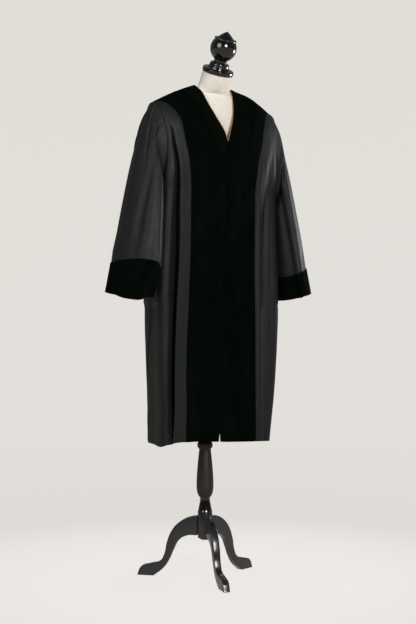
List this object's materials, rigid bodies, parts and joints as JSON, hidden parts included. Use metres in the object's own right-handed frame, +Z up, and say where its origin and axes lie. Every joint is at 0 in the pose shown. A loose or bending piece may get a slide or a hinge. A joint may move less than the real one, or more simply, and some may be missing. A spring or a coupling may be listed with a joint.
{
  "type": "judicial robe on a limbless dress form stand",
  "caption": "Full-length wide-sleeved robe with plain velvet fronts and cuffs, on a limbless dress form that turns on a tripod stand.",
  "frame": {"origin": "on the floor, in the middle of the plan; the post's axis stands 26 mm behind it", "axes": "+Z up, -Y out of the robe's front, -X towards the wearer's right sleeve"},
  "size_m": [0.728, 0.386, 1.7414],
  "materials": {
    "velvet_black": "deep black cotton velvet with a short upright pile",
    "wool_black": "fine black wool twill with a soft sheen",
    "satin_gold": "old-gold lining satin",
    "jersey_ivory": "ivory cotton jersey drawn over foam",
    "wood_gloss_black": "turned wood in glossy black lacquer",
    "wood_dark": "turned wood in brown-black satin lacquer",
    "wood_satin_black": "plank wood in satin black lacquer",
    "metal_black": "steel tube, painted black"
  },
  "bodies": {
    "stand": {"hub": "wood_satin_black", "leg_1": "wood_satin_black", "leg_2": "wood_satin_black", "leg_3": "wood_satin_black", "column": "wood_dark", "post": "metal_black"},
    "bust": {"bust_form": "jersey_ivory", "neck_cap": "wood_gloss_black", "finial": "wood_gloss_black", "front_velvet_right": "velvet_black", "front_velvet_left": "velvet_black", "side_front_right": "wool_black", "side_front_left": "wool_black", "back": "wool_black", "sleeve_right": "wool_black", "sleeve_left": "wool_black", "cuff_right": "velvet_black", "cuff_left": "velvet_black", "neck_lining": "satin_gold"}
  },
  "joints": [
    {"name": "bust_turn", "type": "hinge", "parent": "stand", "child": "bust", "pos_m": [0, 0.026, 0.85], "axis": [0, 0, 1], "continuous": true}
  ]
}
